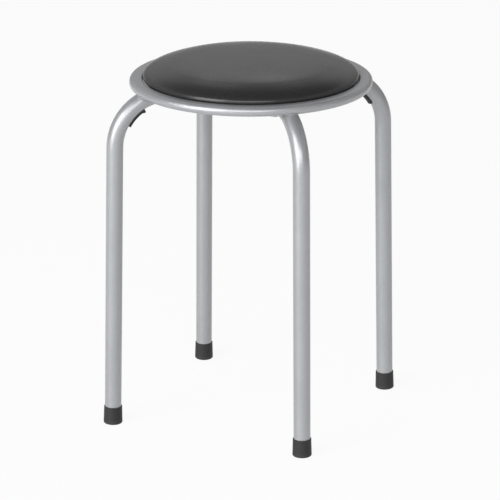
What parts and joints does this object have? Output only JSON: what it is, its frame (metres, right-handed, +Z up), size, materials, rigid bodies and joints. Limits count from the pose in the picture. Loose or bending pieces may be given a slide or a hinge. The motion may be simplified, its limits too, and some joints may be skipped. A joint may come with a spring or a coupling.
{
  "type": "round stool",
  "caption": "Round stacking stool: a domed vinyl seat set in a tube ring, on bent tube legs that run in under the seat, with capped feet.",
  "frame": {"origin": "on the floor, under the middle of the seat", "axes": "+Z up; the legs stand on the X and Y axes, with the upper hoop in the XZ plane and the lower one in the YZ plane"},
  "size_m": [0.3986, 0.3986, 0.4637],
  "materials": {
    "frame_paint": "silver metallic baked paint, satin",
    "vinyl": "black upholstery vinyl with a fine grain",
    "foam": "cut urethane foam",
    "plywood": "raw plywood",
    "zinc_steel": "zinc plated steel",
    "black_plastic": "moulded black polyethylene",
    "cap_plastic": "moulded black polyethylene, worn matt"
  },
  "bodies": {
    "root": {"leg_hoop_upper": "frame_paint", "leg_hoop_lower": "frame_paint", "seat_ring": "frame_paint", "ring_welds": "frame_paint", "crossing_welds": "frame_paint", "seat_cover": "vinyl", "seat_foam": "foam", "seat_board": "plywood", "cover_staples": "zinc_steel", "seat_bolts": "zinc_steel", "tee_nuts": "zinc_steel", "saddle_washers": "black_plastic", "foot_cap_right": "cap_plastic", "foot_cap_back": "cap_plastic", "foot_cap_left": "cap_plastic", "foot_cap_front": "cap_plastic", "stack_bumper_right": "black_plastic", "stack_bumper_back": "black_plastic", "stack_bumper_left": "black_plastic", "stack_bumper_front": "black_plastic"}
  },
  "joints": []
}
